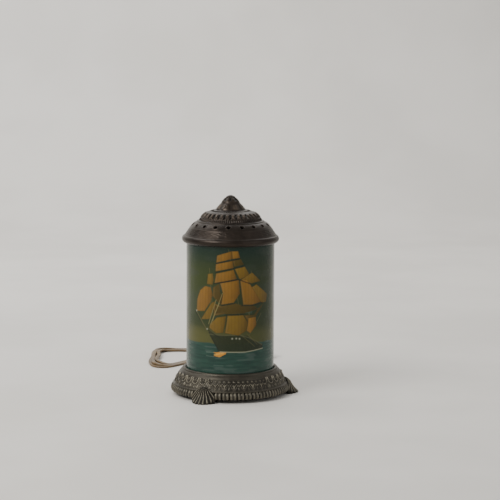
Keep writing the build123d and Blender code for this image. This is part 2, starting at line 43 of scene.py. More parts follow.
# -------------------- sizes shared with the part's source, in mm
GLASS_R = 57.0
GLASS_WALL = 2.5
GLASS_FOOT_Z = 30.2
GLASS_TOP_Z = 201.8
SEAT_R = 57.4
LIP_TOP_Z = 35.6
SKIRT_R = 76.6
FOOT_ANGLES = (-26.0, 94.0, 214.0)
CAP_TIP_Z = 259.3
CAP_FOOT_Z = 198.3
VENT_COUNT = 18
VENT_R = 2.5
VENT_CIRCLE_R = 48.8
VENT_Z = 222.0
VENT_TILT = 39.0
VENT_FIRST_ANGLE = -2.2
BUSHING_Z = 11.5

# ornament, counted round the casting
FRIEZE_UNITS = 36
BORDER_LOBES = 48
BORDER_BEADS = 72
BUD_PETALS = 8
LEAF_COUNT = 30
FLUTE_COUNT = 90
SHOULDER_BEADS = 60

# ornament bands on the base, in mm down its outside
FRIEZE_DOWN = 2.4
CROWN_DOWN = 19.9
BEAD_LINE_DOWN = 22.0
TONGUES_DOWN = 23.6

# ornament bands on the cap, by their height
BUD_Z = 254.0
CUSP_Z = 244.8
LEAF_FOOT_Z = 230.2
LEAF_TIP_Z = 237.3
FLUTE_Z = 228.6
VENT_BAND_SLOPE = 1.53

# shell feet
SHELL_RIBS = 9
SHELL_SPREAD = 58
SHELL_NARROW = 0.86

# mesh columns round each turned piece
BASE_COLUMNS = 1080
CAP_COLUMNS = 900
GLASS_COLUMNS = 720


# ==================== mesh helpers
def smooth_step(low, high, x):
    """0 below low, 1 above high, and a smooth ramp between."""
    t = np.clip((x - low) / (high - low), 0, 1)
    return t * t * (3 - 2 * t)


def bump(distance, width):
    """A round ridge of height 1 at distance 0."""
    return np.exp(-((distance / width) ** 2))


def arc(a, b, c, step):
    """Points on the circle through a, b and c, from a up to but not including c."""
    (ax, ay), (bx, by), (cx, cy) = a, b, c
    d = 2 * (ax * (by - cy) + bx * (cy - ay) + cx * (ay - by))
    ux = ((ax**2 + ay**2) * (by - cy) + (bx**2 + by**2) * (cy - ay) + (cx**2 + cy**2) * (ay - by)) / d
    uy = ((ax**2 + ay**2) * (cx - bx) + (bx**2 + by**2) * (ax - cx) + (cx**2 + cy**2) * (bx - ax)) / d
    radius = math.hypot(ax - ux, ay - uy)
    start = math.atan2(ay - uy, ax - ux)
    through = (math.atan2(by - uy, bx - ux) - start + math.pi) % math.tau - math.pi
    sweep = (math.atan2(cy - uy, cx - ux) - start + math.pi) % math.tau - math.pi
    if through * sweep < 0:
        sweep -= math.copysign(math.tau, sweep)
    count = max(2, round(abs(sweep) * radius / step))
    turns = start + sweep * np.arange(count) / count
    return np.stack([ux + radius * np.cos(turns), uy + radius * np.sin(turns)], axis=1)


def arcs_through(points, step):
    """A chain of arcs, each through three points, the last of one being the first of the next."""
    return np.concatenate([arc(*points[i:i + 3], step) for i in range(0, len(points) - 2, 2)])


def straight(a, b, step):
    """Points on the line from a up to but not including b."""
    a, b = np.array(a, float), np.array(b, float)
    count = max(1, round(np.linalg.norm(b - a) / step))
    return a + (b - a) * np.arange(count)[:, None] / count


def grid_faces(rows, columns, wrap_rows):
    """Quads of a grid whose columns always wrap."""
    r = np.arange(rows if wrap_rows else rows - 1)[:, None]
    c = np.arange(columns)[None, :]
    here, below = r * columns, (r + 1) % rows * columns
    c_next = (c + 1) % columns
    quads = np.broadcast_arrays(here + c, here + c_next, below + c_next, below + c)
    return np.stack(quads, axis=-1).reshape(-1, 4)


def mesh_piece(name, points_mm, face_sets):
    """A mesh object from points in mm and arrays of faces, all faces turned outwards."""
    points = np.asarray(points_mm, float) * MM
    volume = 0.0
    for faces in face_sets:
        corner = points[faces]
        for k in range(1, faces.shape[1] - 1):
            cross = np.cross(corner[:, k], corner[:, k + 1])
            volume += np.einsum("ij,ij->", corner[:, 0], cross)
    if volume < 0:
        face_sets = [faces[:, ::-1] for faces in face_sets]
    mesh = bpy.data.meshes.new(name)
    mesh.vertices.add(len(points))
    mesh.vertices.foreach_set("co", points.astype(np.float32).ravel())
    totals = np.concatenate([np.full(len(f), f.shape[1]) for f in face_sets])
    corners = np.concatenate([f.ravel() for f in face_sets])
    mesh.loops.add(len(corners))
    mesh.loops.foreach_set("vertex_index", corners.astype(np.int32))
    mesh.polygons.add(len(totals))
    mesh.polygons.foreach_set("loop_start", np.concatenate([[0], np.cumsum(totals)[:-1]]).astype(np.int32))
    mesh.update(calc_edges=True)
    mesh.polygons.foreach_set("use_smooth", np.full(len(totals), True))
    piece = bpy.data.objects.new(name, mesh)
    bpy.context.scene.collection.objects.link(piece)
    return piece


def store_value(piece, name, values):
    """Keeps one number per vertex for the material to read."""
    attribute = piece.data.attributes.new(name, "FLOAT", "POINT")
    attribute.data.foreach_set("value", np.asarray(values, np.float32).ravel())


def outward_normals(profile, closed):
    """The profile's normals in the (radius, height) plane, pointing out of the metal."""
    if closed:
        ahead, behind = np.roll(profile, -1, axis=0), np.roll(profile, 1, axis=0)
    else:
        ahead = np.concatenate([profile[1:], profile[-1:]])
        behind = np.concatenate([profile[:1], profile[:-1]])
    tangent = ahead - behind
    tangent /= np.maximum(np.linalg.norm(tangent, axis=1, keepdims=True), 1e-9)
    normal = np.stack([tangent[:, 1], -tangent[:, 0]], axis=1)
    x, y = profile[:, 0], profile[:, 1]
    area = np.sum(x * np.roll(y, -1) - np.roll(x, -1) * y)
    return normal if area > 0 else -normal


def lathe(name, profile, columns, relief, closed):
    """Turns a profile about +Z; relief(degrees) says how far it is raised along its normals and dropped."""
    degrees = np.arange(columns) * 360 / columns
    normal = outward_normals(profile, closed)
    height, drop = relief(degrees[None, :])
    radius = profile[:, :1] + normal[:, :1] * height
    z = profile[:, 1:] + normal[:, 1:] * height + drop
    bearing = np.radians(degrees)[None, :]
    x, y = radius * np.sin(bearing), -radius * np.cos(bearing)
    points = np.stack([x, y, z * np.ones_like(bearing)], axis=-1)
    rows = len(profile)
    if closed:
        piece = mesh_piece(name, points.reshape(-1, 3), [grid_faces(rows, columns, True)])
        store_value(piece, "relief", height)
        return piece
    inner = points[1:-1].reshape(-1, 3)
    poles = np.array([[0, 0, profile[0, 1]], [0, 0, profile[-1, 1]]])
    first, last = len(inner), len(inner) + 1
    ring = np.arange(columns)
    ring_next = (ring + 1) % columns
    end = len(inner) - columns
    fans = np.concatenate([
        np.stack([np.full(columns, first), ring_next, ring], axis=1),
        np.stack([np.full(columns, last), end + ring, end + ring_next], axis=1),
    ])
    faces = [grid_faces(rows - 2, columns, False), fans]
    piece = mesh_piece(name, np.concatenate([inner, poles]), faces)
    store_value(piece, "relief", np.concatenate([height[1:-1].ravel(), [0, 0]]))
    return piece


def combine(piece, tool, operation):
    """Joins a closed mesh to the piece, or cuts it out, and keeps the result as the piece's mesh."""
    modifier = piece.modifiers.new("combine", "BOOLEAN")
    modifier.operation = operation
    modifier.solver = "MANIFOLD"
    modifier.object = tool
    graph = bpy.context.evaluated_depsgraph_get()
    result = bpy.data.meshes.new_from_object(piece.evaluated_get(graph), depsgraph=graph)
    piece.modifiers.clear()
    piece.data = result
    bpy.data.objects.remove(tool)


def settle(piece, body, material):
    """Gives a piece its body and its material."""
    piece.data.materials.clear()
    piece.data.materials.append(material)
    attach(piece, body)


# ==================== materials
def new_material(name):
    """An empty node material with its Principled shader."""
    material = bpy.data.materials.new(name)
    material.use_nodes = True
    tree = material.node_tree
    return material, tree, tree.nodes["Principled BSDF"]


def node(tree, kind, **settings):
    """A new node with its properties set."""
    made = tree.nodes.new(kind)
    for key, value in settings.items():
        setattr(made, key, value)
    return made


def noise(tree, scale, detail=4.0, roughness=0.55, stretch=None):
    """A noise pattern in object space, in features per metre, stretched along the axes if asked."""
    place = node(tree, "ShaderNodeTexCoord")
    pattern = node(tree, "ShaderNodeTexNoise")
    pattern.inputs["Scale"].default_value = scale
    pattern.inputs["Detail"].default_value = detail
    pattern.inputs["Roughness"].default_value = roughness
    if stretch is None:
        tree.links.new(place.outputs["Object"], pattern.inputs["Vector"])
        return pattern.outputs["Fac"]
    mapping = node(tree, "ShaderNodeMapping")
    mapping.inputs["Scale"].default_value = stretch
    tree.links.new(place.outputs["Object"], mapping.inputs["Vector"])
    tree.links.new(mapping.outputs["Vector"], pattern.inputs["Vector"])
    return pattern.outputs["Fac"]


def ramp(tree, value, low, high, low_out=0.0, high_out=1.0):
    """A value rescaled smoothly from one range to another."""
    change = node(tree, "ShaderNodeMapRange", interpolation_type="SMOOTHSTEP")
    for name, number in (("From Min", low), ("From Max", high), ("To Min", low_out), ("To Max", high_out)):
        change.inputs[name].default_value = number
    tree.links.new(value, change.inputs["Value"])
    return change.outputs["Result"]


def mix(tree, factor, first, second):
    """A blend of two colours, each a tuple or a socket."""
    blend = node(tree, "ShaderNodeMix", data_type="RGBA")
    for value, socket in ((factor, blend.inputs[0]), (first, blend.inputs[6]), (second, blend.inputs[7])):
        if isinstance(value, (tuple, float, int)):
            socket.default_value = (*value, 1) if isinstance(value, tuple) else value
        else:
            tree.links.new(value, socket)
    return blend.outputs[2]


def maths(tree, operation, *values):
    """One arithmetic step on two or three values."""
    step = node(tree, "ShaderNodeMath", operation=operation)
    for value, socket in zip(values, step.inputs):
        if isinstance(value, (float, int)):
            socket.default_value = value
        else:
            tree.links.new(value, socket)
    return step.outputs[0]


def attribute_value(tree, name):
    """The number stored at each vertex."""
    return node(tree, "ShaderNodeAttribute", attribute_name=name).outputs["Fac"]


def raise_surface(tree, shader, height, distance, strength=1.0):
    """Fine grain too small to model, as bump."""
    grain = node(tree, "ShaderNodeBump")
    grain.inputs["Distance"].default_value = distance
    grain.inputs["Strength"].default_value = strength
    tree.links.new(height, grain.inputs["Height"])
    tree.links.new(grain.outputs["Normal"], shader.inputs["Normal"])


def aged_bronze(name, patina, bright, worn_from, worn_to, smoothest):
    """Cast metal with a dark finish in its hollows, worn to bare metal on its high spots."""
    material, tree, shader = new_material(name)
    blotches = noise(tree, 60, 5)
    fine = noise(tree, 700, 3)
    height = attribute_value(tree, "relief")
    uneven = maths(tree, "MULTIPLY_ADD", blotches, 0.7, -0.35)
    height = maths(tree, "ADD", height, uneven)
    worn = ramp(tree, height, worn_from, worn_to)
    mottled = mix(tree, ramp(tree, blotches, 0.35, 0.65), patina, tuple(c * 1.45 for c in patina))
    cavity = ramp(tree, attribute_value(tree, "relief"), -0.5, 0.1)
    shaded = mix(tree, cavity, tuple(c * 0.2 for c in patina), mottled)
    worn = maths(tree, "MULTIPLY", worn, ramp(tree, fine, 0.25, 0.6, 0.55, 1.0))
    tree.links.new(mix(tree, worn, shaded, bright), shader.inputs["Base Color"])
    shader.inputs["Metallic"].default_value = 0.72
    tree.links.new(ramp(tree, blotches, 0.3, 0.7, smoothest, smoothest + 0.17), shader.inputs["Roughness"])
    raise_surface(tree, shader, fine, 0.00012, 0.5)
    return material


def plain_metal(name, colour, tarnish, roughness, metallic=1.0):
    """Sheet or turned metal with a little tarnish."""
    material, tree, shader = new_material(name)
    spots = ramp(tree, noise(tree, 140, 4), 0.42, 0.68)
    tree.links.new(mix(tree, spots, colour, tarnish), shader.inputs["Base Color"])
    shader.inputs["Metallic"].default_value = metallic
    scratches = noise(tree, 260, 3, 0.6, (1, 1, 9))
    gloss = ramp(tree, scratches, 0.3, 0.7, roughness * 0.8, roughness * 1.3)
    tree.links.new(gloss, shader.inputs["Roughness"])
    raise_surface(tree, shader, scratches, 0.00008, 0.35)
    return material


def moulded(name, colour, streak, roughness, scale=90):
    """Moulded plastic, rubber, paper or fibre with soft streaks."""
    material, tree, shader = new_material(name)
    streaks = ramp(tree, noise(tree, scale, 5, 0.6, (1, 1, 2.5)), 0.35, 0.7)
    tree.links.new(mix(tree, streaks, colour, streak), shader.inputs["Base Color"])
    fine = noise(tree, 1500, 2)
    gloss = ramp(tree, fine, 0.3, 0.7, roughness * 0.85, roughness * 1.15)
    tree.links.new(gloss, shader.inputs["Roughness"])
    raise_surface(tree, shader, fine, 0.00005, 0.3)
    return material


def clear_glass(name, tint, roughness):
    """Thin clear glass with faint dust."""
    material, tree, shader = new_material(name)
    dust = ramp(tree, noise(tree, 220, 4), 0.5, 0.85, 0.0, 0.25)
    tree.links.new(mix(tree, dust, tint, (0.55, 0.52, 0.46)), shader.inputs["Base Color"])
    smears = ramp(tree, noise(tree, 300, 3), 0.4, 0.8, roughness, roughness + 0.12)
    tree.links.new(smears, shader.inputs["Roughness"])
    shader.inputs["Transmission Weight"].default_value = 1.0
    shader.inputs["IOR"].default_value = 1.45
    return material


# ==================== base casting
def base_profile():
    """The base's closed outline in (radius, height), and how far each point lies down the outside."""
    fine, coarse = 0.42, 2.0
    lip = arc((SEAT_R, 34.4), (59.8, LIP_TOP_Z), (62.2, 33.4), fine)
    skirt = [(62.2, 33.4), (65.0, 30.8), (67.0, 27.6), (70.3, 21.0), (73.4, 15.2), (74.7, 14.4),
             (74.2, 13.2), (76.3, 10.6), (SKIRT_R, 7.4)]
    outside = [lip, arcs_through(skirt, fine), straight((SKIRT_R, 7.4), (SKIRT_R - 1.2, 5.3), fine)]
    corners = [(SKIRT_R - 1.2, 5.3), (73.4, 5.3), (72.6, 9.5), (69.6, 17.5), (65.2, 26.7), (51.0, 26.7),
               (51.0, GLASS_FOOT_Z), (SEAT_R, GLASS_FOOT_Z), (SEAT_R, 34.4)]
    inside = [straight(a, b, coarse) for a, b in zip(corners, corners[1:])]
    edge = sum(len(part) for part in outside)
    profile = np.concatenate([*outside, *inside])
    steps = np.linalg.norm(np.diff(profile, axis=0), axis=1)
    down = np.concatenate([[0], np.cumsum(steps)]) - np.cumsum(steps)[len(lip) - 1]
    down[edge:] = -99
    return profile, down[:, None]


def frieze(degrees, down):
    """Horseshoe loops near each foot, beads and a lattice elsewhere, with leaves under both."""
    pitch = 360 / FRIEZE_UNITS
    per_degree = math.radians(1) * 67
    across = ((degrees + 60.0 + pitch / 2) % pitch - pitch / 2) * per_degree
    half_pitch = pitch / 2 * per_degree
    window = smooth_step(2.0, 3.2, down) * (1 - smooth_step(17.6, 18.4, down))
    loops = np.zeros_like(across * down)
    for angle in FOOT_ANGLES:
        gap = (degrees - angle + 180) % 360 - 180
        loops = np.maximum(loops, smooth_step(-52, -50, gap) * (1 - smooth_step(5.5, 7.5, gap)))
    from_centre = np.where(down < 7.4, np.abs(across), np.hypot(across, down - 7.4))
    ring = bump(from_centre - 4.2, 0.6) * smooth_step(2.6, 3.6, down)
    pit = (1 - smooth_step(3.2, 4.0, from_centre)) * smooth_step(3.0, 4.2, down)
    fan_angle = np.arctan2(across, 11.0 - down)
    fan_reach = np.hypot(across, 11.0 - down)
    palmette = np.cos(fan_angle * 5.5) ** 2 * bump(fan_reach - 4.6, 2.6) * pit
    scroll = bump(np.hypot(np.abs(across) - 5.6, down - 4.6) - 1.2, 0.5)
    loop_height = 0.85 * ring - 0.35 * pit + 1.0 * palmette + 0.7 * scroll
    bead_pitch = 360 / BORDER_BEADS
    bead_across = ((degrees + bead_pitch / 2) % bead_pitch - bead_pitch / 2) * per_degree
    beads = bump(np.hypot(bead_across, down - 6.6), 1.15)
    saw = np.abs((degrees / 5 % 1) * 2 - 1)
    lattice = bump(down - 9.4 - 3.4 * saw, 0.6) + 0.7 * bump(down - 13.2 + 3.2 * saw, 0.55)
    garland_height = 1.0 * beads + 0.95 * lattice + 0.4 * bump(down - 3.6, 0.5) - 0.25
    border_gap = half_pitch - np.abs(across)
    leaves = bump(border_gap, 0.75) * bump(down - 14.2, 2.6)
    side_leaf = bump((border_gap - 2.0) + (down - 15.2) * 0.6, 0.6) * bump(down - 15.4, 1.9)
    small_leaf = bump(np.abs(across), 0.8) * bump(down - 15.6, 1.6)
    low_height = 0.95 * leaves + 0.8 * side_leaf + 0.7 * small_leaf
    return window * (loops * loop_height + (1 - loops) * garland_height + low_height)


def border_lobes(degrees, down):
    """The flared border: double-ridged tongues with a scalloped lower edge."""
    turn = (degrees * BORDER_LOBES / 360) % 1 - 0.5
    window = smooth_step(TONGUES_DOWN, TONGUES_DOWN + 1.2, down)
    ridges = np.abs(np.sin(turn * math.tau)) ** 0.8
    parting = bump(np.abs(turn) - 0.5, 0.07)
    height = window * (1.1 * ridges - 0.6 * parting - 0.5)
    drop = -0.6 * (1 - np.abs(turn * 2) ** 2.6) * smooth_step(28, 32, down)
    return height, drop


def base_relief(degrees, down):
    """All ornament on the outside of the base."""
    outside = down > -50
    height = frieze(degrees, down - FRIEZE_DOWN)
    line = 0.35 * bump(down - BEAD_LINE_DOWN, 0.7)
    lobes, drop = border_lobes(degrees, down)
    gaps = [(degrees - angle + 180) % 360 - 180 for angle in FOOT_ANGLES]
    for gap in gaps:
        across = gap * math.radians(1) * 70
        crown = np.zeros_like(across * down)
        for tilt in (-0.75, 0.0, 0.75):
            side = across * math.cos(tilt) + (CROWN_DOWN - down) * math.sin(tilt)
            along = (CROWN_DOWN - down) * math.cos(tilt) - across * math.sin(tilt)
            crown = np.maximum(crown, bump(side, 0.9) * bump(along - 2.8, 2.3))
        plain = bump(across, 6.0) * smooth_step(15, 16.5, down)
        plain = plain * (1 - smooth_step(21.5, 22.5, down))
        height = height * (1 - 0.8 * plain) + 1.0 * crown
    height = np.where(outside, height + line + lobes, 0.0)
    return height, np.where(outside, drop, 0.0)


def shell_foot(angle):
    """One scallop-shell foot: ribs fan out from a hinge and end in a scalloped rim on the table."""
    ridge = [(69.8, 20.6), (76.0, 17.4), (80.4, 11.4), (84.2, 5.9), (88.9, 1.4)]
    spine = np.concatenate([arcs_through(ridge, 0.4), ridge[-1:]])
    reach = np.concatenate([[0], np.cumsum(np.linalg.norm(np.diff(spine, axis=0), axis=1))])
    rays, rings = 181, 64
    spread = np.radians(np.linspace(-SHELL_SPREAD, SHELL_SPREAD, rays))[None, :]
    part = np.linspace(0, 1, rings)[:, None]
    rib = np.cos(np.linspace(-0.5, 0.5, rays)[None, :] * SHELL_RIBS * math.tau) * 0.5 + 0.5
    length = reach[-1] * (0.60 + 0.40 * np.cos(spread) ** 1.3) * (1 + 0.03 * rib)
    length = np.minimum(length, reach[-1] * (0.985 + 0.015 * rib) / np.maximum(np.cos(spread), 0.3))
    distance = part * length
    along, across = distance * np.cos(spread), distance * np.sin(spread)
    height = (1.35 * rib ** 2.2 - 0.4) * smooth_step(0.05, 0.45, part) + 0.9 * bump(part, 0.09)
    across = across * SHELL_NARROW
    radius = np.interp(along, reach, spine[:, 0]) - across**2 * 0.018
    level = np.interp(along, reach, spine[:, 1]) - across**2 * 0.016
    radius = radius + height * 0.70
    level = np.maximum(level + height * 0.70, 0.9)
    top = np.stack([radius, across * np.ones_like(radius), level], axis=-1)
    bottom = top.copy()
    bottom[..., 2] = 0.0
    points = np.concatenate([top.reshape(-1, 3), bottom.reshape(-1, 3)])
    index = np.arange(rings * rays).reshape(rings, rays)
    quads = np.stack([index[:-1, :-1], index[1:, :-1], index[1:, 1:], index[:-1, 1:]], axis=-1)
    quads = quads.reshape(-1, 4)
    under = quads[:, ::-1] + rings * rays
    loop = np.concatenate([index[0, :], index[1:, -1], index[-1, -2::-1], index[-2:0:-1, 0]])
    loop_next = np.roll(loop, -1)
    wall = np.stack([loop, loop_next, loop_next + rings * rays, loop + rings * rays], axis=1)
    bearing = math.radians(angle)
    sine, cosine = math.sin(bearing), math.cos(bearing)
    turn = np.array([[sine, -cosine, 0], [cosine, sine, 0], [0, 0, 1]])
    foot = mesh_piece("shell_foot", points @ turn, [quads, under, wall])
    store_value(foot, "relief", np.concatenate([height.ravel(), np.full(rings * rays, -0.4)]))
    welded = bmesh.new()
    welded.from_mesh(foot.data)
    bmesh.ops.remove_doubles(welded, verts=welded.verts, dist=1e-6)
    bmesh.ops.dissolve_degenerate(welded, dist=1e-7, edges=welded.edges)
    bmesh.ops.recalc_face_normals(welded, faces=welded.faces)
    welded.to_mesh(foot.data)
    welded.free()
    return foot


def make_base(material):
    """The whole base casting."""
    profile, down = base_profile()
    base = lathe("base_shell", profile, BASE_COLUMNS, lambda degrees: base_relief(degrees, down), True)
    for angle in FOOT_ANGLES:
        combine(base, shell_foot(angle), "UNION")
    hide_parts("base_casting")
    settle(base, "base", material)
    return base


# ==================== cap casting
def cap_profile():
    """The cap's outline from the tip down the outside and up the inside, and the distance from the tip."""
    fine, coarse = 0.5, 2.5
    tip_r = 7.49
    half_way = math.asin(6.4 / tip_r) / 2
    tip_middle = (tip_r * math.sin(half_way), CAP_TIP_Z - tip_r * (1 - math.cos(half_way)))
    dome = [(0, CAP_TIP_Z), tip_middle, (6.4, 255.8), (9.9, 252.8), (12.2, 249.4), (15.8, 244.6),
            (20.2, 240.0), (26.0, 238.9), (30.6, 237.4), (37.5, 232.2), (40.5, 227.2)]
    skirt = [(41.4, 226.3), (43.2, 226.3), (44.2, 225.0), (49.0, 221.9), (53.0, 217.4), (56.0, 212.8),
             (59.4, 207.9), (62.9, 203.4), (59.4, CAP_FOOT_Z)]
    ledge = straight(dome[-1], skirt[0], fine)
    outside = [arcs_through(dome, fine), ledge, arcs_through(skirt, fine)]
    corners = [(59.4, CAP_FOOT_Z), (SEAT_R, CAP_FOOT_Z), (SEAT_R, GLASS_TOP_Z), (54.5, GLASS_TOP_Z),
               (54.5, 204.4), (56.6, 206.0), (50.2, 215.2), (45.8, 220.2), (38.2, 223.6), (33.0, 230.3),
               (24.0, 235.4), (0, 237.0)]
    inside = [straight(a, b, coarse) for a, b in zip(corners, corners[1:])]
    edge = sum(len(part) for part in outside)
    profile = np.concatenate([*outside, *inside, [[0, 237.0]]])
    steps = np.linalg.norm(np.diff(profile, axis=0), axis=1)
    from_tip = np.concatenate([[0], np.cumsum(steps)])
    from_tip[edge:] = -99
    return profile, from_tip[:, None]


def cap_relief(degrees, profile, from_tip):
    """Embossed bud, leaf cusps, beaded shoulder, tongue leaves, fluting, scrolls and plain rim."""
    z = profile[:, 1:]
    r = np.maximum(profile[:, :1], 1.0)
    outside = from_tip > -50
    turn = degrees / 360
    petals = (turn * BUD_PETALS % 1) * 2 - 1
    bud = 0.55 * np.cos(petals * math.pi) * bump(z - BUD_Z, 1.9)
    bud = bud + 0.35 * np.cos(turn * math.tau * BUD_PETALS * 2) * bump(z - 256.6, 0.9)
    bud = bud + 0.35 * bump(z - 251.6, 0.6)
    cusp = 0.9 * (1 - np.abs(petals) ** 1.5) * smooth_step(240.8, 242.2, z)
    cusp = cusp * (1 - smooth_step(245.5, 249.5, z)) - 0.55 * bump(petals, 0.10) * bump(z - CUSP_Z, 2.6)
    shoulder = 0.4 * np.cos(turn * math.tau * SHOULDER_BEADS) * bump(z - 239.3, 0.5) * (r > 22)
    leaf = (turn * LEAF_COUNT % 1) * 2 - 1
    leaf_top = LEAF_TIP_Z - 1.6 * np.abs(leaf)
    body = (1 - np.abs(leaf) ** 2.2) * smooth_step(LEAF_FOOT_Z, LEAF_FOOT_Z + 1, z)
    body = body * (1 - smooth_step(leaf_top - 1.2, leaf_top, z))
    vee = bump(np.abs(leaf) - (z - LEAF_FOOT_Z - 0.4) / 7.0, 0.17) * smooth_step(230.6, 231.4, z)
    vee = vee * (1 - smooth_step(235.8, 236.8, z))
    gap = bump(np.abs(leaf) - 1.0, 0.20) * smooth_step(230.6, 231.8, z) * (1 - smooth_step(235.6, 236.8, z))
    tier = (0.75 * body - 0.7 * vee - 1.1 * gap) * (r > 29)
    flutes = 0.4 * np.cos(turn * math.tau * FLUTE_COUNT) * bump(z - FLUTE_Z, 1.2) * (r > 36)
    vent_turn = ((degrees - VENT_FIRST_ANGLE) * VENT_COUNT / 360 + 0.5) % 1 - 0.5
    vent_across = vent_turn * math.tau / VENT_COUNT * VENT_CIRCLE_R
    from_vent = np.hypot(vent_across, (z - VENT_Z) * VENT_BAND_SLOPE)
    collar = 0.3 * bump(from_vent - VENT_R - 0.7, 0.6) * (z < 224.8) * (z > 217.5)
    swirl = np.sin(degrees * math.radians(18) + np.sin((z - 213) * 0.9) * 1.8)
    scrolls = 0.28 * bump(swirl, 0.28) * smooth_step(209.6, 211, z) * (1 - smooth_step(215.2, 216.4, z))
    crest = 0.22 * bump(z - 208.6, 0.5) + 0.22 * bump(z - 217.2, 0.45)
    height = bud + cusp + shoulder + tier + flutes + collar + scrolls + crest
    height = height * smooth_step(0.5, 4.0, r)
    return np.where(outside, height, 0.0), np.zeros_like(height)


def vent_drills():
    """Short rods that cut the vent holes."""
    sides = 28
    around = np.arange(sides) * math.tau / sides
    tilt = math.radians(VENT_TILT)
    points, quads, ends = [], [], []
    for index in range(VENT_COUNT):
        bearing = math.radians(VENT_FIRST_ANGLE + index * 360 / VENT_COUNT)
        out = np.array([math.sin(bearing), -math.cos(bearing), 0])
        side = np.array([math.cos(bearing), math.sin(bearing), 0])
        axis = out * math.sin(tilt) + np.array([0, 0, math.cos(tilt)])
        up = np.cross(axis, side)
        centre = out * VENT_CIRCLE_R + np.array([0, 0, VENT_Z])
        rim = VENT_R * (np.cos(around)[:, None] * side + np.sin(around)[:, None] * up)
        first = len(points) * sides
        points += [centre - 7 * axis + rim, centre + 7 * axis + rim]
        low = first + np.arange(sides)
        nxt = first + (np.arange(sides) + 1) % sides
        quads.append(np.stack([low, nxt, nxt + sides, low + sides], axis=1))
        ends += [low[::-1], low + sides]
    return mesh_piece("vent_drills", np.concatenate(points), [np.concatenate(quads), np.array(ends)])


def make_cap(material):
    """The whole cap casting."""
    profile, from_tip = cap_profile()
    def relief(degrees):
        return cap_relief(degrees, profile, from_tip)

    cap = lathe("cap_shell", profile, CAP_COLUMNS, relief, False)
    combine(cap, vent_drills(), "DIFFERENCE")
    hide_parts("cap_casting")
    settle(cap, "cap", material)
    return cap


# ==================== painted glass
def inside_polygon(x, y, corners):
    """True where a point lies in a closed polygon."""
    hit = np.zeros(x.shape, bool)
    for (x0, y0), (x1, y1) in zip(corners, corners[1:] + corners[:1]):
        if y0 == y1:
            continue
        crosses = (y0 > y) != (y1 > y)
        hit ^= crosses & (x < (x1 - x0) * (y - y0) / (y1 - y0) + x0)
    return hit


def near_lines(x, y, points, closed):
    """The distance to a chain of straight lines."""
    pairs = list(zip(points, points[1:] + points[:1])) if closed else list(zip(points, points[1:]))
    best = np.full(x.shape, 1e9)
    for (x0, y0), (x1, y1) in pairs:
        dx, dy = x1 - x0, y1 - y0
        t = np.clip(((x - x0) * dx + (y - y0) * dy) / (dx * dx + dy * dy), 0, 1)
        best = np.minimum(best, np.hypot(x - x0 - t * dx, y - y0 - t * dy))
    return best


def hash_noise(x, y, seed):
    """Smooth random values on a unit grid, the same each run."""
    def lattice(i, j):
        return (np.sin(i * 127.1 + j * 311.7 + seed * 74.7) * 43758.5453) % 1
    i, j = np.floor(x), np.floor(y)
    u, v = x - i, y - j
    u, v = u * u * (3 - 2 * u), v * v * (3 - 2 * v)
    low = lattice(i, j) * (1 - u) + lattice(i + 1, j) * u
    high = lattice(i, j + 1) * (1 - u) + lattice(i + 1, j + 1) * u
    return low * (1 - v) + high * v


def blend_colour(picture, mask, colour):
    """Paints a colour over the picture where the mask is 1."""
    picture += mask[..., None] * (np.array(colour) - picture)


# The scene is drawn on a sheet in mm, x to the right and y up, then stretched to fit the glass.
SHEET_WIDEN = 1.045
SHEET_STRETCH = 1.053
SHEET_RAISE = 2.1
SAIL = (0.195, 0.096, 0.014)
SAIL_GOLD = (0.148, 0.088, 0.011)
SAIL_DEEP = (0.060, 0.040, 0.006)
SAIL_PALE = (0.250, 0.150, 0.050)
ROPE = (0.105, 0.095, 0.036)
HULL = (0.014, 0.020, 0.007)

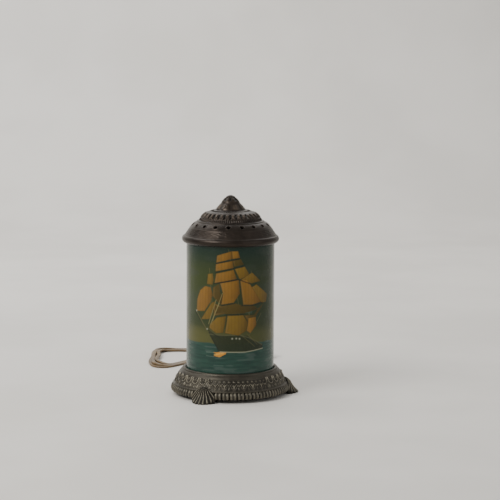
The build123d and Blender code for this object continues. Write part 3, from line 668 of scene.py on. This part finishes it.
SAILS = [
    # upper sails in rows, left and right of the mast's line
    (SAIL, [(-16, 176), (2, 181.5), (3, 172), (-17, 167)]),
    (SAIL, [(2, 181.5), (10, 181.5), (12.5, 173), (3, 172)]),
    (SAIL, [(-17.5, 165.5), (3, 170), (4.5, 161), (-18, 156.5)]),
    (SAIL_DEEP, [(3, 170), (13.5, 171.5), (17, 165), (5, 162.5)]),
    (SAIL, [(-17, 154), (4.5, 159), (8.5, 147.5), (-19.5, 142)]),
    (SAIL_GOLD, [(5.5, 160), (18.5, 162.5), (25, 152), (12, 147)]),
    (SAIL_GOLD, [(24, 153), (28, 155), (41, 143.5), (27, 141.5), (13, 146.5)]),
    # main course and the sails right of it
    (SAIL, [(-12.5, 143), (11, 147), (12.5, 130), (5, 119), (-11, 116), (-8.5, 130)]),
    (SAIL, [(12.5, 146), (21, 147), (28, 137), (43.5, 118.5), (29, 115.5), (16.5, 116), (14.5, 130)]),
    (SAIL_GOLD, [(27.5, 137), (34.5, 140), (54, 126), (51, 117), (42.5, 116.5)]),
    # shaded sails seen between the courses
    (SAIL_DEEP, [(-11.5, 129), (-8, 130), (-10.5, 115.5), (-17, 121.5), (-21.5, 126), (-21, 137),
                 (-13, 141.5)]),
    (SAIL_DEEP, [(-21, 118.5), (-11, 115), (6, 118), (16, 115.5), (29, 115), (37, 110), (17, 105.5),
                 (-6, 105), (-20, 102)]),
    (SAIL_DEEP, [(17.5, 103.5), (31, 102.5), (37, 110), (46, 115.5), (33.5, 101), (24, 99.5),
                 (22.8, 94.5)]),
    # headsails at the left
    (SAIL_GOLD, [(-28, 153), (-21.5, 154), (-20, 145.5), (-22, 140), (-29.5, 140.5)]),
    (SAIL, [(-32, 138), (-24, 137), (-21.5, 128), (-24, 119), (-33, 107), (-46, 106), (-45, 121),
            (-40, 132)]),
    (SAIL_GOLD, [(-23, 118), (-17, 121), (-25, 98), (-38.5, 96.5), (-33, 104)]),
    # lower courses
    (SAIL_GOLD, [(-3, 103), (16.5, 103.5), (22.5, 94), (20.5, 84), (11, 78.5), (-6, 81.5), (-4, 94)]),
    (SAIL_GOLD, [(-25.5, 91.5), (-16, 100.5), (-4.5, 102.5), (-5.5, 94), (-8, 82), (-17, 81), (-26, 87)]),
    (SAIL, [(23, 99.5), (34, 100.5), (34.5, 90), (26, 80.5), (21, 84), (22.8, 94)]),
]
YARDS = [
    [(-17, 166.2), (12.5, 172.3)], [(-18, 155), (17.5, 163.5)],
    [(-20, 141.5), (-6, 144), (9.5, 147.3), (26, 141)], [(-14, 142.4), (12, 147)], [(-10, 115), (6, 118)],
    [(14, 115), (30, 114.6), (44, 117)], [(-6, 103.8), (17, 104.4)],
]
RIGGING = [
    [(-2, 184), (12, 110)], [(-26, 160), (-20, 92)], [(27, 157), (24, 84)], [(-24, 119), (-29, 98)],
    [(-17, 122), (-27, 92)], [(-13, 118), (-24, 92)], [(-9, 130), (-22, 96)], [(-45, 105), (-30, 86)],
    [(-48, 108), (-30, 84.5)], [(4, 119), (14, 100)], [(17, 116), (24, 104)], [(42, 104), (25, 79)],
    [(22, 80), (36, 66)], [(14, 79), (32, 64)], [(-38, 96), (-30, 86)],
]
PENNANTS = [
    [(-8, 112), (5, 113), (6, 109.5), (-6, 108)],
    [(-13, 106), (-6, 107), (-5, 104.2), (-14, 103.6)],
    [(16, 110), (29, 108), (28, 104.6), (18, 106)],
]
HULL_SHAPE = [(-27.0, 82.0), (-20, 79.5), (-8, 79.0), (10, 79), (22, 77.5), (32, 71), (45, 64.5), (43, 60),
              (10, 58.2), (-12, 58.2), (-17.5, 67)]
BOWSPRIT = [(-13, 76), (-29, 85), (-49, 106)]
STEM = [(-25, 78), (-16, 64), (-14, 59)]
RAIL = [(-25, 79.5), (-10, 78.8), (12, 79.2), (24, 75.5), (44, 65)]
LANTERNS = [(-29, 85.5), (-46, 106.5), (8, 75), (12, 74.6), (3, 74.8)]
BOW_LIGHT = [(-21, 57.6), (-4, 58.4), (-5, 55.8), (-12.5, 51.8), (-20, 53.2), (-16, 55.6)]
# strokes on the water: points, strength, width and colour
WATER_STROKES = [
    ([(-19, 54.8), (-8, 56.8)], 0.7, 0.7, (0.60, 0.36, 0.08)),
    ([(-12, 58.4), (20, 58.0), (45, 60.5)], 0.75, 0.55, (0.33, 0.33, 0.22)),
    ([(-30, 57), (-20, 57.4)], 0.45, 0.7, (0.11, 0.17, 0.13)),
    ([(-30, 52.6), (-20, 52.0)], 0.45, 0.6, (0.10, 0.15, 0.12)),
    ([(-20, 41.5), (-8, 41.3)], 0.35, 0.5, (0.10, 0.15, 0.13)),
]
HEADLAND = [(105, 68), (112, 71.5), (122, 73), (131, 76.5), (140, 74), (150, 71), (158, 68)]
FAR_HULL = [(-143, 71), (-125, 70.5), (-122, 67.5), (-140, 67)]
FAR_SAILS = [
    [(-141, 73), (-134, 74), (-134, 90), (-139, 86)],
    [(-133, 73), (-126, 73), (-127, 88), (-132, 92)],
    [(-147, 72), (-142, 73), (-140, 84)],
]


def paint_shape(picture, x, y, corners, strength, colour):
    """A filled shape."""
    blend_colour(picture, strength * inside_polygon(x, y, corners), colour)


def paint_stroke(picture, x, y, points, strength, width, colour):
    """A soft brush stroke along straight lines."""
    blend_colour(picture, strength * bump(near_lines(x, y, points, False), width), colour)


def paint_sky_and_sea(picture, x, y):
    """Dusk sky over a low yellow glow and a teal sea, right round the glass."""
    wobble = hash_noise(x / 22, y / 5, 1) - 0.5
    level = y + wobble * 5
    top = smooth_step(150, 186, level)
    blend_colour(picture, np.ones_like(x), (0.019, 0.030, 0.010))
    blend_colour(picture, top, (0.006, 0.021, 0.015))
    left = smooth_step(10, -45, x)
    blend_colour(picture, 0.55 * left * smooth_step(75, 120, level) * (1 - top), (0.040, 0.056, 0.010))
    glow = smooth_step(98, 74, level)
    blend_colour(picture, glow * (0.55 + 0.4 * left), (0.080, 0.080, 0.022))
    clouds = smooth_step(0.55, 0.8, hash_noise(x / 26, y / 9, 5)) * smooth_step(85, 120, y)
    blend_colour(picture, 0.30 * clouds, (0.030, 0.040, 0.030))
    sea = smooth_step(69.5, 67.5, y + (hash_noise(x / 9, 0 * y, 2) - 0.5) * 1.5)
    ripples = hash_noise(x / 11, y / 1.6, 3)
    deep = np.stack([0.008 + 0.010 * ripples, 0.034 + 0.024 * ripples, 0.027 + 0.016 * ripples], axis=-1)
    picture += sea[..., None] * (deep - picture)
    swell = smooth_step(0.62, 0.85, hash_noise(x / 14, y / 2.2, 8))
    blend_colour(picture, 0.5 * sea * swell, (0.055, 0.085, 0.074))


def paint_sail(picture, x, y, corners, colour):
    """One sail, lit from its left, with seams and a dark edge."""
    mask = inside_polygon(x, y, corners).astype(float)
    edge = near_lines(x, y, corners, True)
    left, right = min(c[0] for c in corners), max(c[0] for c in corners)
    low, high = min(c[1] for c in corners), max(c[1] for c in corners)
    across, up = (x - left) / (right - left), (y - low) / (high - low)
    shade = 1.12 - 0.42 * (across - 0.35) ** 2 * 3 - 0.25 * (1 - up)
    shade = shade + 0.10 * (hash_noise(x / 3, y / 6, 11) - 0.5)
    tone = np.array(colour) * np.clip(shade, 0.4, 1.3)[..., None]
    picture += mask[..., None] * (tone - picture)
    blend_colour(picture, mask * 0.30 * bump((x / 4.2) % 1 - 0.5, 0.10), SAIL_DEEP)
    blend_colour(picture, mask * 0.75 * bump(edge, 0.55), SAIL_DEEP)
    blend_colour(picture, mask * 0.35 * bump(edge - 1.5, 0.8) * smooth_step(0.35, 0.0, across), SAIL_PALE)


def paint_ship(picture, x, y):
    """A full-rigged ship under sail, bow to the left."""
    paint_shape(picture, x, y, HULL_SHAPE, 0.95, HULL)
    hull_edge = near_lines(x, y, HULL_SHAPE, True)
    blend_colour(picture, 0.6 * bump(hull_edge, 0.45), (0.004, 0.006, 0.003))
    paint_stroke(picture, x, y, RAIL, 0.6, 0.7, (0.10, 0.10, 0.045))
    paint_stroke(picture, x, y, BOWSPRIT, 0.9, 0.7, (0.010, 0.014, 0.006))
    paint_stroke(picture, x, y, STEM, 0.8, 0.6, (0.006, 0.008, 0.004))
    for corners in PENNANTS:
        paint_shape(picture, x, y, corners, 0.8, (0.035, 0.055, 0.035))
    for line in RIGGING:
        paint_stroke(picture, x, y, line, 0.55, 0.38, ROPE)
    for colour, corners in SAILS:
        paint_sail(picture, x, y, corners, colour)
    for line in YARDS:
        paint_stroke(picture, x, y, line, 0.9, 0.62, (0.008, 0.010, 0.006))
    for line in RIGGING[4:7]:
        paint_stroke(picture, x, y, line, 0.7, 0.45, (0.21, 0.18, 0.07))
    for centre in LANTERNS:
        from_lantern = np.hypot(x - centre[0], y - centre[1])
        blend_colour(picture, 0.8 * bump(from_lantern, 0.9), (0.40, 0.40, 0.30))


def paint_water_lights(picture, x, y):
    """The orange light under the bow, the pale waterline and a few pale strokes on the water."""
    paint_shape(picture, x, y, BOW_LIGHT, 0.95, (0.50, 0.215, 0.03))
    for points, strength, width, colour in WATER_STROKES:
        paint_stroke(picture, x, y, points, strength, width, colour)


def paint_far_side(picture, x, y):
    """The back of the glass: a distant sail and a low headland, so that the scene runs right round."""
    paint_shape(picture, x, y, HEADLAND, 0.9, (0.022, 0.032, 0.018))
    paint_shape(picture, x, y, FAR_HULL, 0.9, HULL)
    for corners in FAR_SAILS:
        paint_sail(picture, x, y, corners, SAIL_GOLD)


def painted_glass_material():
    """Enamel picture behind glossy glass, with fine brush grain and a few pinholes of wear."""
    material, tree, shader = new_material("painted_glass")
    picture = node(tree, "ShaderNodeAttribute", attribute_name="picture").outputs["Color"]
    grain = ramp(tree, noise(tree, 420, 4, 0.6, (1, 1, 3)), 0.3, 0.75)
    brushed = mix(tree, maths(tree, "MULTIPLY", grain, 0.12), picture, (0.060, 0.065, 0.042))
    specks = ramp(tree, noise(tree, 900, 2), 0.72, 0.78)
    worn = mix(tree, maths(tree, "MULTIPLY", specks, 0.35), brushed, (0.16, 0.14, 0.09))
    tree.links.new(worn, shader.inputs["Base Color"])
    haze = noise(tree, 35, 3)
    tree.links.new(ramp(tree, haze, 0.3, 0.7, 0.13, 0.24), shader.inputs["Roughness"])
    shader.inputs["Specular IOR Level"].default_value = 0.2
    shader.inputs["Coat Weight"].default_value = 0.06
    shader.inputs["Coat Roughness"].default_value = 0.08
    return material


def paint_backing_material():
    """The inner wall: thin milky backing with faint streaks of colour showing through."""
    material, tree, shader = new_material("paint_backing")
    streaks = ramp(tree, noise(tree, 60, 4, 0.6, (1, 1, 0.4)), 0.35, 0.7)
    tree.links.new(mix(tree, streaks, (0.30, 0.29, 0.22), (0.14, 0.17, 0.13)), shader.inputs["Base Color"])
    tree.links.new(ramp(tree, streaks, 0, 1, 0.3, 0.5), shader.inputs["Roughness"])
    return material


def make_scene_cylinder():
    """The glass cylinder with its picture stored as a colour at each vertex."""
    columns, step, inner_r = GLASS_COLUMNS, 0.5, GLASS_R - GLASS_WALL
    outside = straight((GLASS_R, GLASS_FOOT_Z + 0.4), (GLASS_R, GLASS_TOP_Z - 0.4), step)
    rest = [(GLASS_R, GLASS_TOP_Z - 0.4), (GLASS_R - 0.4, GLASS_TOP_Z), (inner_r + 0.4, GLASS_TOP_Z),
            (inner_r, GLASS_TOP_Z - 0.4), (inner_r, 110), (inner_r, GLASS_FOOT_Z + 0.4),
            (inner_r + 0.4, GLASS_FOOT_Z), (GLASS_R - 0.4, GLASS_FOOT_Z)]
    profile = np.concatenate([outside, np.array(rest)])
    flat = np.zeros((len(profile), columns))
    glass = lathe("painted_cylinder", profile, columns, lambda degrees: (flat, flat), True)
    degrees = np.arange(columns) * 360 / columns
    x = np.radians((degrees + 180) % 360 - 180)[None, :] * GLASS_R / SHEET_WIDEN
    x = x * np.ones((len(profile), 1))
    y = (profile[:, 1:] - SHEET_RAISE) / SHEET_STRETCH * np.ones((1, columns))
    picture = np.zeros((*x.shape, 3))
    paint_sky_and_sea(picture, x, y)
    paint_far_side(picture, x, y)
    paint_ship(picture, x, y)
    paint_water_lights(picture, x, y)
    colours = np.concatenate([picture, np.ones((*x.shape, 1))], axis=-1)
    stored = glass.data.attributes.new("picture", "FLOAT_COLOR", "POINT")
    stored.data.foreach_set("color", colours.astype(np.float32).ravel())
    settle(glass, "glass", painted_glass_material())
    glass.data.materials.append(paint_backing_material())
    rows = np.arange(len(profile))
    inner_row = (rows >= len(outside) + 2) & (rows <= len(outside) + 5)
    which = np.repeat(inner_row.astype(np.int32), columns)
    glass.data.polygons.foreach_set("material_index", which)
    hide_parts("scene_cylinder")
    return glass


# ==================== supply cord
CORD_WIDTH = 5.4
CORD_THICK = 2.7
FLOOR_Z = CORD_THICK / 2 + 0.05
LEAD_ROUTE = [
    (0.0, 80.0, BUSHING_Z),
    (0.0, 105.0, BUSHING_Z),
    (-1.0, 134.0, FLOOR_Z + 0.6),
    (-4.0, 170.0, FLOOR_Z),
    (-8.0, 206.0, FLOOR_Z),
    (-13.0, 238.0, FLOOR_Z),
    (-14.0, 262.0, FLOOR_Z),
]
PLUG_ROUTE = [
    (1.0, 304.0, FLOOR_Z + 1.2),
    (17.5, 310.0, FLOOR_Z),
    (34.5, 304.5, FLOOR_Z + 0.6),
    (45.0, 289.0, 5.0),
    (45.5, 270.5, 7.0),
]
COIL_CENTRE = (-76.0, 248.0)
COIL_LOOP = [
    (-4.0, 281.0), (-6.0, 297.0), (-24.0, 301.0), (-48.0, 303.5), (-72.0, 306.0), (-96.0, 307.0),
    (-111.0, 296.0),
    (-114.0, 272.0), (-113.0, 246.0), (-114.0, 220.0), (-114.0, 192.0), (-107.0, 171.0), (-90.0, 167.0),
    (-72.0, 187.0), (-54.0, 212.0), (-36.0, 236.0), (-18.0, 260.0),
]
COIL_TURNS = 4


def coil_points():
    """The loose turns: each a little smaller than the last, the odd ones on the even ones at the left."""
    points = []
    for turn in range(COIL_TURNS):
        for index, (x, y) in enumerate(COIL_LOOP):
            done = turn + index / len(COIL_LOOP)
            size = 1.06 - 0.075 * done
            wander = 1.6 * math.sin(2.3 * index + 1.7 * turn)
            out = np.array([x - COIL_CENTRE[0], y - COIL_CENTRE[1]])
            reach = np.linalg.norm(out)
            place = np.array(COIL_CENTRE) + out * (size + wander / reach)
            crowded = float(smooth_step(-88, -102, np.array(place[0])))
            lift = (turn % 2) * CORD_THICK * 1.05 * crowded
            points.append((place[0], place[1], FLOOR_Z + lift))
    return points


def follow(points_mm, name):
    """The cord's line: a NURBS spline with the route's points as its control points."""
    curve = bpy.data.curves.new(name, "CURVE")
    curve.dimensions = "3D"
    curve.resolution_u = 10
    spline = curve.splines.new("NURBS")
    spline.points.add(len(points_mm) - 1)
    for point, place in zip(spline.points, points_mm):
        point.co = (*[c * MM for c in place], 1)
    spline.order_u = 3
    spline.use_endpoint_u = True
    holder = bpy.data.objects.new(name, curve)
    bpy.context.scene.collection.objects.link(holder)
    graph = bpy.context.evaluated_depsgraph_get()
    line = bpy.data.meshes.new_from_object(holder.evaluated_get(graph), depsgraph=graph)
    places = np.array([v.co[:] for v in line.vertices]) / MM
    bpy.data.objects.remove(holder)
    return places


def flat_section():
    """The twin cord's section: two round halves joined by a thin web."""
    around = np.arange(28) * math.tau / 28
    half = CORD_THICK / 2
    lobe_centre = CORD_WIDTH / 2 - half
    across = np.sign(np.cos(around)) * lobe_centre + half * np.cos(around)
    up = half * np.sin(around)
    waist = np.abs(across) < lobe_centre * 0.75
    up = np.where(waist, up * 0.72, up)
    return across, up


def make_cord(material):
    """The flat twin cord in one length from the bushing to the plug."""
    places = follow([*LEAD_ROUTE, *coil_points(), *PLUG_ROUTE], "cord_line")
    ahead = np.gradient(places, axis=0)
    ahead /= np.linalg.norm(ahead, axis=1, keepdims=True)
    side = np.stack([-ahead[:, 1], ahead[:, 0], np.zeros(len(ahead))], axis=1)
    side /= np.linalg.norm(side, axis=1, keepdims=True)
    up = np.cross(ahead, side)
    across, height = flat_section()
    rings = places[:, None] + side[:, None] * across[None, :, None] + up[:, None] * height[None, :, None]
    count, sides = rings.shape[:2]
    ends = np.array([np.arange(sides)[::-1], (count - 1) * sides + np.arange(sides)])
    cord = mesh_piece("supply_cord", rings.reshape(-1, 3), [grid_faces(count, sides, False), ends])
    settle(cord, "base", material)
    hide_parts("cord_lead", "cord_coil", "plug_lead")
    return cord, places


def make_tie(material):
    """A paper-covered wire round the coil's far side, its ends twisted together."""
    x, low, high = -50.0, 285.0, 314.0
    loop = []
    for index in range(40):
        turn = index / 40 * math.tau
        y = (low + high) / 2 + (high - low) / 2 * math.copysign(abs(math.cos(turn)) ** 0.45, math.cos(turn))
        z = 2.1 + 1.9 * math.copysign(abs(math.sin(turn)) ** 0.6, math.sin(turn))
        loop.append((x + 0.6 * math.sin(turn), y, max(z, 0.45)))
    tails = []
    for side in (0, math.pi):
        tail = []
        for index in range(26):
            turn = index * 0.8 + side
            place_x = x + 0.45 * math.cos(turn) + index * 0.10
            tail.append((place_x, 300 + index * 0.42, 4.2 + 0.45 * math.sin(turn)))
        tails.append(tail)
    curve = bpy.data.curves.new("tie_wire", "CURVE")
    curve.dimensions = "3D"
    curve.bevel_depth = 0.42 * MM
    curve.bevel_resolution = 3
    curve.use_fill_caps = True
    for points, cyclic in ((loop, True), (tails[0], False), (tails[1], False)):
        spline = curve.splines.new("POLY")
        spline.points.add(len(points) - 1)
        spline.use_cyclic_u = cyclic
        for point, place in zip(spline.points, points):
            point.co = (*[c * MM for c in place], 1)
    tie = bpy.data.objects.new("tie_wire", curve)
    bpy.context.scene.collection.objects.link(tie)
    tie.data.materials.append(material)
    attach(tie, "base")
    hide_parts("cord_tie")
    return tie


# ==================== stage
CAMERA_PLACE = (0.0240, -2.400, 0.4896)
CAMERA_LENS = 134.4
CAMERA_DOWN = 7.17
CAMERA_LEAN = -0.25


def make_stage():
    """A pale floor that curves up into a wall behind the lamp."""
    mesh = bpy.data.meshes.new("floor")
    width, front, back, wall = 4.0, -3.0, 1.7, 3.0
    rows = [(front, 0.0), (back, 0.0)]
    for index in range(1, 13):
        turn = index / 12 * math.pi / 2
        rows.append((back + 0.8 * math.sin(turn), 0.8 * (1 - math.cos(turn))))
    rows.append((back + 0.8, wall))
    points = [(side * width, y, z) for y, z in rows for side in (-1, 1)]
    faces = [(2 * i, 2 * i + 1, 2 * i + 3, 2 * i + 2) for i in range(len(rows) - 1)]
    mesh.from_pydata(points, [], faces)
    mesh.polygons.foreach_set("use_smooth", [True] * len(faces))
    floor = bpy.data.objects.new("floor", mesh)
    bpy.context.scene.collection.objects.link(floor)
    material, tree, shader = new_material("pale_floor")
    mottle = ramp(tree, noise(tree, 3, 3), 0.35, 0.65)
    cloth = mix(tree, mottle, (0.74, 0.715, 0.675), (0.80, 0.775, 0.735))
    tree.links.new(cloth, shader.inputs["Base Color"])
    shader.inputs["Roughness"].default_value = 0.6
    floor.data.materials.append(material)
    return floor


def area_light(name, place, aim, size, power, colour=(1, 1, 1)):
    """A soft square light aimed at a point."""
    light = bpy.data.lights.new(name, "AREA")
    light.size = size
    light.energy = power
    light.color = colour
    holder = bpy.data.objects.new(name, light)
    bpy.context.scene.collection.objects.link(holder)
    holder.location = place
    direction = np.array(aim) - np.array(place)
    yaw = math.atan2(direction[0], -direction[1])
    tilt = math.atan2(math.hypot(direction[0], direction[1]), -direction[2])
    holder.rotation_euler = (tilt, 0, math.pi + yaw)
    return holder


def make_lights():
    """A soft key from the left front, a weak fill, one light on the wall and an even pale surround."""
    area_light("key", (-1.3, -1.1, 1.5), (0, 0, 0.12), 1.0, 34, (1.0, 0.98, 0.94))
    area_light("fill", (1.6, -0.9, 0.9), (0, 0, 0.12), 1.4, 5, (0.95, 0.97, 1.0))
    area_light("back", (0.3, 1.5, 1.6), (0, 0, 0.15), 1.4, 8)
    area_light("wall", (-1.1, 0.9, 2.0), (-0.7, 2.5, 0.5), 1.2, 34)
    world = bpy.data.worlds.new("surround")
    bpy.context.scene.world = world
    world.use_nodes = True
    background = world.node_tree.nodes["Background"]
    background.inputs["Color"].default_value = (0.82, 0.81, 0.785, 1)
    background.inputs["Strength"].default_value = 0.64


def make_camera():
    """The view straight on, from a little above and some way off."""
    data = bpy.data.cameras.new("camera")
    data.lens = CAMERA_LENS
    camera = bpy.data.objects.new("camera", data)
    bpy.context.scene.collection.objects.link(camera)
    camera.location = CAMERA_PLACE
    camera.rotation_euler = (math.radians(90 - CAMERA_DOWN), math.radians(CAMERA_LEAN), 0)
    bpy.context.scene.camera = camera


# ==================== assembly
def dress(node_name, material):
    """Gives a carried-over CAD part its material."""
    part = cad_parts[node_name]
    if not part.material_slots:
        part.data.materials.append(material)
    for slot in part.material_slots:
        slot.material = material


make_camera()
make_lights()
make_stage()

base_bronze = aged_bronze("base_bronze", (0.046, 0.041, 0.031), (0.285, 0.260, 0.200), 0.2, 1.1, 0.36)
cap_bronze = aged_bronze("cap_bronze", (0.022, 0.016, 0.012), (0.110, 0.084, 0.062), 0.25, 1.0, 0.27)
brass = plain_metal("brass", (0.52, 0.37, 0.14), (0.20, 0.13, 0.05), 0.32)
steel = plain_metal("steel", (0.42, 0.41, 0.39), (0.20, 0.17, 0.14), 0.38)
needle_steel = plain_metal("needle_steel", (0.60, 0.60, 0.62), (0.42, 0.40, 0.38), 0.18)
aluminium = plain_metal("aluminium", (0.62, 0.61, 0.58), (0.40, 0.39, 0.36), 0.35)
fibre = moulded("fibre", (0.30, 0.18, 0.09), (0.22, 0.12, 0.06), 0.75)
phenolic = moulded("phenolic", (0.025, 0.022, 0.020), (0.045, 0.035, 0.028), 0.35)
wire_rubber = moulded("wire_rubber", (0.060, 0.045, 0.032), (0.035, 0.028, 0.022), 0.6)
rubber = moulded("rubber", (0.030, 0.026, 0.022), (0.055, 0.048, 0.040), 0.65)
cord_brown = moulded("cord_brown", (0.150, 0.092, 0.034), (0.085, 0.052, 0.020), 0.42, 40)
bakelite = moulded("bakelite", (0.075, 0.030, 0.012), (0.035, 0.014, 0.006), 0.28)
paper = moulded("paper", (0.62, 0.56, 0.44), (0.45, 0.39, 0.30), 0.8)
black_glass = moulded("black_glass", (0.012, 0.010, 0.016), (0.03, 0.02, 0.03), 0.12)
bulb_clear = clear_glass("bulb_clear", (0.95, 0.96, 0.94), 0.02)

make_base(base_bronze)
make_cap(cap_bronze)
make_scene_cylinder()
cord, cord_places = make_cord(cord_brown)
tie = make_tie(paper)

for names, material in (
    (("socket_bar", "bar_screws", "nipple_washer", "pivot_frame", "bulb_tip"), steel),
    (("lamp_nipple", "nipple_nut", "socket_cap", "socket_shell", "terminal_screws", "screw_shell",
      "centre_contact", "frame_nuts", "needle_holder", "bulb_shell", "pivot_cup", "plug_blades"), brass),
    (("socket_liner", "plug_disc"), fibre),
    (("socket_body",), phenolic),
    (("inner_leads",), wire_rubber),
    (("pivot_needle", "bulb_filament"), needle_steel),
    (("bulb_insulator",), black_glass),
    (("bulb_glass", "bulb_stem"), bulb_clear),
    (("fan_wheel", "top_hoop", "bottom_hoop"), aluminium),
    (("motion_sleeve",), fibre),
    (("cord_bushing",), rubber),
    (("plug_body",), bakelite),
):
    for name in names:
        dress(name, material)
